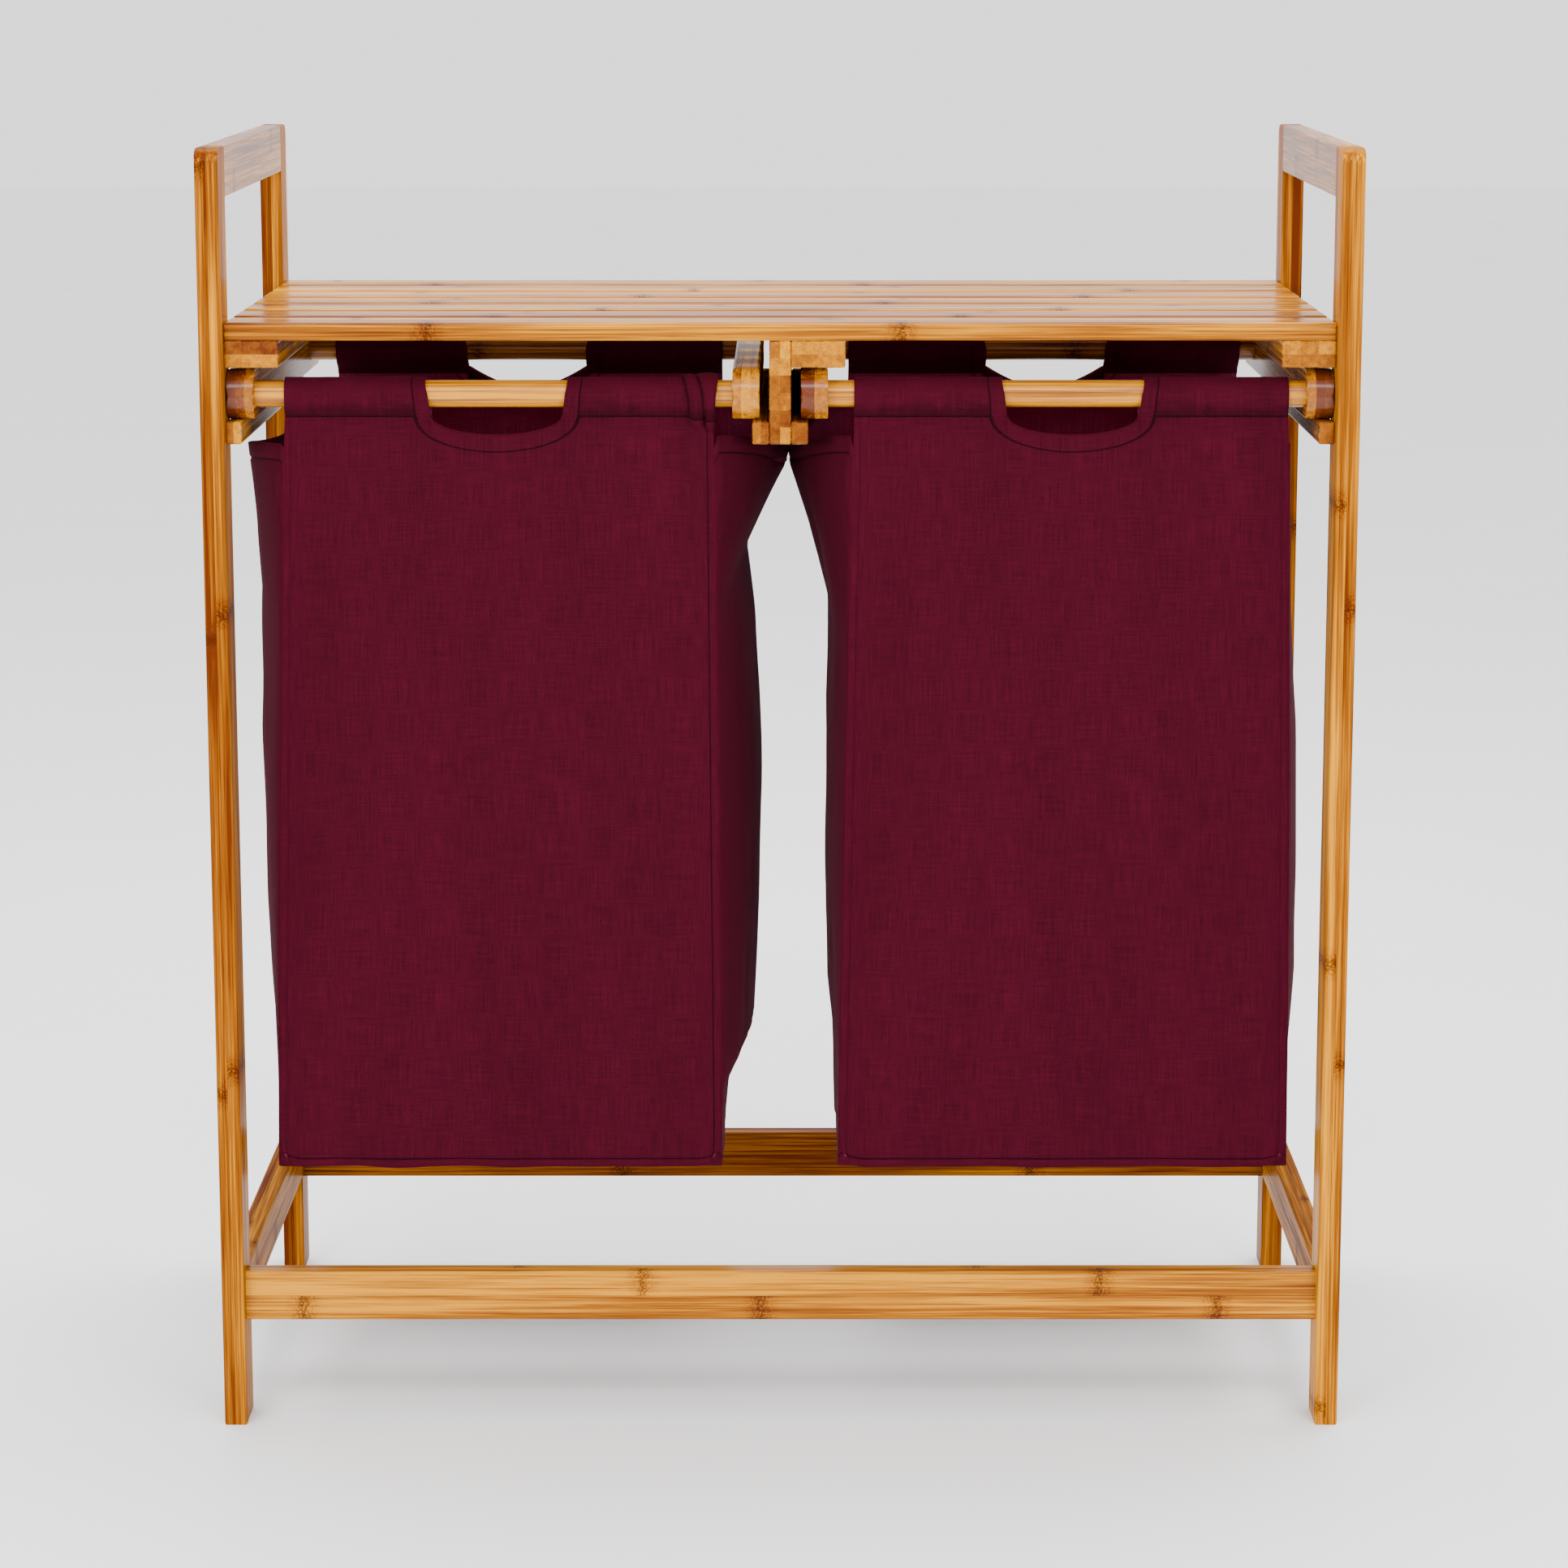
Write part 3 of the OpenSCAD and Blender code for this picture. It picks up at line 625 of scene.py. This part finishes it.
    def raise_walls(self):
        """Gives the panels' top edges; the gussets end lower, in their own hems."""
        rim = [e for e in self.bm.edges if e.is_boundary]
        gusset_rise = self.gusset_top - self.bottom
        hem_line = gusset_rise - GUSSET_HEM
        steps = [r for r in RISE if r < hem_line - 1] + [hem_line - 1.8, hem_line, hem_line + 1.6, gusset_rise]
        for height in steps:
            rim = self.grow(rim, lambda vertex, height=height: self.settle(vertex, height))
        self.fold_gusset_hem([e for e in rim if any(self.on_gusset(v) for v in e.verts)])
        panel_rim = [e for e in rim if not any(self.on_gusset(v) for v in e.verts)]
        for share in PANEL_RISE:
            height = gusset_rise + (self.full - gusset_rise) * share
            panel_rim = self.grow(panel_rim, lambda vertex, height=height: self.settle(vertex, height))
        self.shape_cut_outs()
        return panel_rim

    def fold_gusset_hem(self, edges):
        """Turns the gusset's top edge in and down inside itself."""
        def inward(drop, gap):
            def put(vertex):
                turn = 1 if vertex.co.x < self.middle * MM else -1
                if self.on_gusset(vertex):
                    vertex.co.x += turn * gap * MM
                vertex.co.z -= drop * MM
            return put
        rim = self.grow(edges, inward(-0.3, 0.9))
        rim = self.grow(along_hem(rim), inward(1.2, 0.9))
        self.grow(along_hem(rim), inward(GUSSET_HEM - 0.6, 0.3))

    def shape_cut_outs(self):
        """Draws the rows under each cut-out down into its curve."""
        for vertex in self.bm.verts:
            offset = ACROSS[vertex[self.across]]
            if self.on_gusset(vertex) or abs(offset) >= HALF_CUT:
                continue
            dip = CUT_DROP * math.sqrt(max(0.0, 1 - (offset / HALF_CUT) ** 2))
            if vertex[self.back]:
                dip = REAR_CUT_DROP * (1 - (abs(offset) / HALF_CUT) ** 1.7)
            height = vertex[self.up]
            if height > self.full - CUT_REACH:
                dip *= (height - self.full + CUT_REACH) / CUT_REACH
                vertex.co.z -= dip * MM
                vertex[self.up] -= dip

    def close_top(self, rim):
        for end, j, inward in (("front", 0, 1), ("rear", self.last_j, -1)):
            row = [e for e in rim if all(v[self.back] == j for v in e.verts)]
            self.hem_cut_out(row, inward)
            for turn in (-1, 1):
                self.wrap_sleeve(row, end, inward, turn)

    def hem_cut_out(self, row, inward):
        hem = [e for e in row if all(abs(ACROSS[v[self.across]]) <= HALF_CUT for v in e.verts)]
        for back, drop in ((0.9, -0.3), (0.9, 1.4), (0.2, HEM - 1.6)):
            def put(vertex, back=back, drop=drop):
                vertex.co.y += inward * back * MM
                vertex.co.z -= drop * MM
            hem = self.grow(hem, put)
            hem = [e for e in hem if abs(e.verts[0][self.across] - e.verts[1][self.across]) == 1]

    def wrap_sleeve(self, row, end, inward, turn):
        """Takes one sleeve up round its dowel and down again, ending behind the stitch line."""
        centre, wrap = self.dowels[end]
        path = [(wrap - 1.9, -8.6), (wrap - 0.2, -4.4)]     # out from the dowel's axis, and up from it
        path += [(wrap * math.cos(math.radians(a)), wrap * math.sin(math.radians(a)))
                 for a in range(0, 181, 12)]
        path += [(-wrap + 0.4, -4.0), (-wrap + 3.2, -8.0), (-0.6, -10.8),
                 (wrap - 6.2, -12.8), (wrap - 5.4, -16.0)]
        sleeve = [e for e in row if all(turn * ACROSS[v[self.across]] >= HALF_CUT - NEAR for v in e.verts)]
        seed = self.lie["seed"]
        for step, (out, up) in enumerate(path, 1):
            def put(vertex, out=out, up=up, round_share=step / len(path)):
                offset = ACROSS[vertex[self.across]]
                bulge, vertex[self.folds] = self.roll(end, offset, round_share)
                loose = 0.06 * max(0.0, ripple(offset * 0.09 + seed, round_share * 6, turn + seed))
                loose += bulge / wrap
                vertex.co.y = (centre.y - inward * out * (1 + loose)) * MM
                vertex.co.z = (centre.z + up * (1 + loose * 0.5)) * MM
                flare = 3.0 * turn * max(0.0, 1 - (abs(offset) - HALF_CUT) / 30)
                if bulge:
                    flare += 2.4 * max(0.0, (offset - 112) / 8)
                shift = flare * math.sin(math.pi * min(1.0, 1.3 * round_share))
                vertex.co.x = (self.panel_x(offset, self.full) + shift) * MM
                vertex[self.up] += 2.6
            sleeve = self.grow(sleeve, put)
            sleeve = [e for e in sleeve if e.verts[0][self.across] != e.verts[1][self.across]]

    def roll(self, end, offset, round_share):
        """How far a sleeve that has rolled up at its end bunches out, and how far this place is past each
        fold. Two lobes wind round the dowel, parted by folds that slant outwards down the front."""
        if not self.lie["twisted_sleeve"] or end != "front":
            return 0.0, Vector()
        down = max(0.0, 1 - round_share / 0.5)
        folds = (102.3 + 5.2 * down, 109.6 + 1.8 * math.sin(math.pi * down) + 5.4 * down ** 2, 121.5)
        if offset < folds[0] - 1.6 or round_share > 0.9:
            return 0.0, Vector()
        bunched = 0.0
        for start, stop, height in zip(folds, folds[1:], (2.8, 4.2)):
            across = (offset - (start + stop) / 2) / ((stop - start) / 2)
            if abs(across) < 1:
                bunched = 0.5 + height * math.sqrt(1 - across ** 2)
        if round_share >= 0.6:
            bunched *= 0.5
        return bunched, Vector((offset - folds[0], offset - folds[1], 1))

    def lay_pattern(self):
        """A flat pattern for the weave and the stitching, in metres: the panels round 0, the gussets from 1
        and the base round 2."""
        pattern = self.bm.loops.layers.uv.new("pattern")
        for face in self.bm.faces:
            rows = {v[self.back] for v in face.verts}
            columns = {v[self.across] for v in face.verts}
            grown = any(v[self.up] > 0 for v in face.verts)
            for loop in face.loops:
                v = loop.vert
                if grown and rows in ({0}, {self.last_j}):
                    across, up = ACROSS[v[self.across]] * MM, v[self.up] * MM
                elif grown and columns in ({0}, {self.last_i}):
                    across, up = 1 + self.backs[v[self.back]] * MM, v[self.up] * MM
                else:
                    across, up = 2 + v.co.x, v.co.y
                loop[pattern].uv = (across, up)

    def make(self, outside, inside):
        self.sew_base()
        self.close_top(self.raise_walls())
        bmesh.ops.recalc_face_normals(self.bm, faces=self.bm.faces)
        self.lay_pattern()
        mesh = bpy.data.meshes.new(f"{self.side}_bag")
        self.bm.to_mesh(mesh)
        self.bm.free()
        mesh.shade_smooth()
        for cloth in (outside, inside):
            mesh.materials.append(cloth)
        bag = bpy.data.objects.new(f"{self.side}_bag", mesh)
        bpy.context.collection.objects.link(bag)
        thickness = bag.modifiers.new("cloth thickness", "SOLIDIFY")
        thickness.thickness = CLOTH * MM
        thickness.offset = 0
        thickness.material_offset = 1
        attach(bag, f"{self.side}_carrier")
        parts = ("front", "rear", "inner_gusset", "outer_gusset", "base")
        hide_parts(*(f"{self.side}_bag_{part}" for part in parts))


# ---- Canvas ----

WINE_TONES = srgb(38, 2, 13), srgb(58, 5, 22), srgb(73, 9, 31)
# The cloth's inside face is painted lighter than the outside, as painted light standing in for the light that
# reaches into the bag.
INSIDE_TONES_LIGHTENED = srgb(78, 18, 44), srgb(102, 30, 60), srgb(130, 44, 82)
# The darkest wine serves the stitching and the flecks, and also the painted shade on the sleeves.
WINE_SEAM_AND_SHADE, WINE_GLOW = srgb(22, 0, 8), srgb(172, 44, 98)
SEE_THROUGH = 0.24      # how much of the light on the cloth passes through it
SHOW_BOTH, SHOW_RIGHT, SHOW_FAINTLY = (0.5, 0.5), (0.2, 1.0), (0.25, 0.3)   # left and right side seams


def draw_seams(made, bag, across, up, side_seams):
    """Thin lines of stitching: 1 on a seam and 0 elsewhere."""
    stitch_up, round_cut = bag.full * MM, (HALF_CUT + HEM) * MM
    width = made.size(across)
    is_panel, under_sleeve = made.below(width, 0.5), made.below(up, stitch_up)
    is_gusset = made.both(made.above(across, 0.5), made.below(across, 1.5))
    showing = made.span(across, -0.05, 0.05, *side_seams)
    down_sides = made.both(made.line(width, (HALF_WIDTH - SEAM) * MM, 0.00035), under_sleeve, showing)
    along_sleeves = made.both(made.line(up, stitch_up), is_panel, made.above(width, round_cut))
    wide = made.maths("POWER", made.maths("DIVIDE", across, round_cut), 2.0)
    deep = made.maths("POWER", made.maths("DIVIDE", made.less(up, stitch_up), (CUT_DROP + HEM) * MM), 2.0)
    ring = made.maths("SQRT", made.add(wide, deep))
    under_cut = made.both(made.line(ring, 1.0, 0.022), under_sleeve, is_panel)
    beside_cut = made.both(made.line(width, round_cut), made.above(up, stitch_up), is_panel)
    gusset_hem = made.both(made.line(up, (bag.gusset_top - bag.bottom - GUSSET_HEM) * MM), is_gusset)
    welt = made.both(made.line(up, WELT * MM), made.below(across, 1.5))
    seams = down_sides
    for seam in (along_sleeves, under_cut, beside_cut, gusset_hem, welt):
        seams = made.maths("MAXIMUM", seams, seam)
    return seams


def draw_stitch_shade(made, bag, pattern, across, up):
    """Painted shade: a dark band just above the sleeves' stitching, where the cloth turns in under the dowel,
    ragged along its top.
    """
    stitch_up = bag.full * MM
    ragged = made.vary(up, made.noise(160.0, pattern), 0.008)
    return made.both(made.span(ragged, stitch_up, stitch_up + 0.0075, 1.0, 0.0), made.above(up, stitch_up),
                     made.above(made.size(across), (HALF_CUT + HEM) * MM), made.below(made.size(across), 0.5))


def draw_fold_shade(made):
    """Painted shade: dark where the twisted sleeve folds over itself."""
    past = made.split(made.node("ShaderNodeAttribute", {"attribute_name": "folds"}).outputs["Vector"])
    nearest = made.maths("MINIMUM", made.size(past[0]), made.size(past[1]))
    return made.both(made.span(nearest, 0.2, 1.1, 1.0, 0.0), past[2])


def canvas(name, bag, tones, thread_contrast, side_seams):
    """Wine-red plain-weave canvas: uneven threads both ways, stitched seams, a little fibre sheen, and painted
    shade above the sleeves' stitching and along the twisted sleeve's folds.
    """
    made = Surface(name)
    pattern = made.node("ShaderNodeUVMap", {"uv_map": "pattern"}).outputs["UV"]
    across, up, _ = made.split(pattern)
    warp = made.stretched_noise(pattern, (1400.0, 45.0, 0.0), 3.0, 0.65)
    weft = made.stretched_noise(pattern, (45.0, 1400.0, 0.0), 3.0, 0.65)
    broad = made.stretched_noise(pattern, (26.0, 3.5, 0.0), 3.0, 0.6)
    tone = made.vary(0.5, warp, thread_contrast)
    tone = made.vary(tone, weft, thread_contrast * 0.85)
    tone = made.vary(tone, broad, 0.45, clamp=True)
    colour = made.ramp(tone, list(zip((0.0, 0.5, 1.0), tones)))
    flecks = made.span(made.noise(700.0, pattern, 1.0), 0.68, 0.74)
    seams = draw_seams(made, bag, across, up, side_seams)
    colour = made.tint(colour, flecks, 0.6, WINE_SEAM_AND_SHADE)
    # Painted shade in a band above the sleeves' stitching
    colour = made.tint(colour, draw_stitch_shade(made, bag, pattern, across, up), 0.55, WINE_SEAM_AND_SHADE)
    colour = made.tint(colour, seams, 0.85, WINE_SEAM_AND_SHADE)
    # Painted shade along the twisted sleeve's folds
    colour = made.tint(colour, draw_fold_shade(made), 0.85, WINE_SEAM_AND_SHADE)
    made.link("Base Color", colour)
    made.set("Roughness", 0.88)
    made.set("Specular IOR Level", 0.05)
    made.set("Sheen Weight", 0.06)
    made.set("Sheen Roughness", 0.45)
    made.set("Sheen Tint", (0.65, 0.10, 0.22, 1))
    weave = made.bump(made.add(warp, weft), 0.35, 0.0003)
    made.link("Normal", made.bump(made.less(1.0, seams), 0.7, 0.0006, weave))
    glow = made.node("ShaderNodeBsdfTranslucent", Color=(*WINE_GLOW, 1)).outputs[0]
    mixed = made.node("ShaderNodeMixShader", Fac=SEE_THROUGH)
    made.feed(mixed.inputs[1], made.shader.outputs[0])
    made.feed(mixed.inputs[2], glow)
    made.feed(made.tree.nodes["Material Output"].inputs["Surface"], mixed.outputs[0])
    return made.material


def make_bags():
    bags = [Bag(side) for side in SIDES]
    inside = canvas("wine_inside_lightened", bags[0], INSIDE_TONES_LIGHTENED, 2.2, SHOW_BOTH)
    for bag, side_seams in zip(bags, (SHOW_RIGHT, SHOW_FAINTLY)):
        bag.make(canvas(f"wine_canvas_{bag.side}", bag, WINE_TONES, 1.3, side_seams), inside)


place_camera()
studio()
finish_timber()
finish_fasteners()
make_bags()
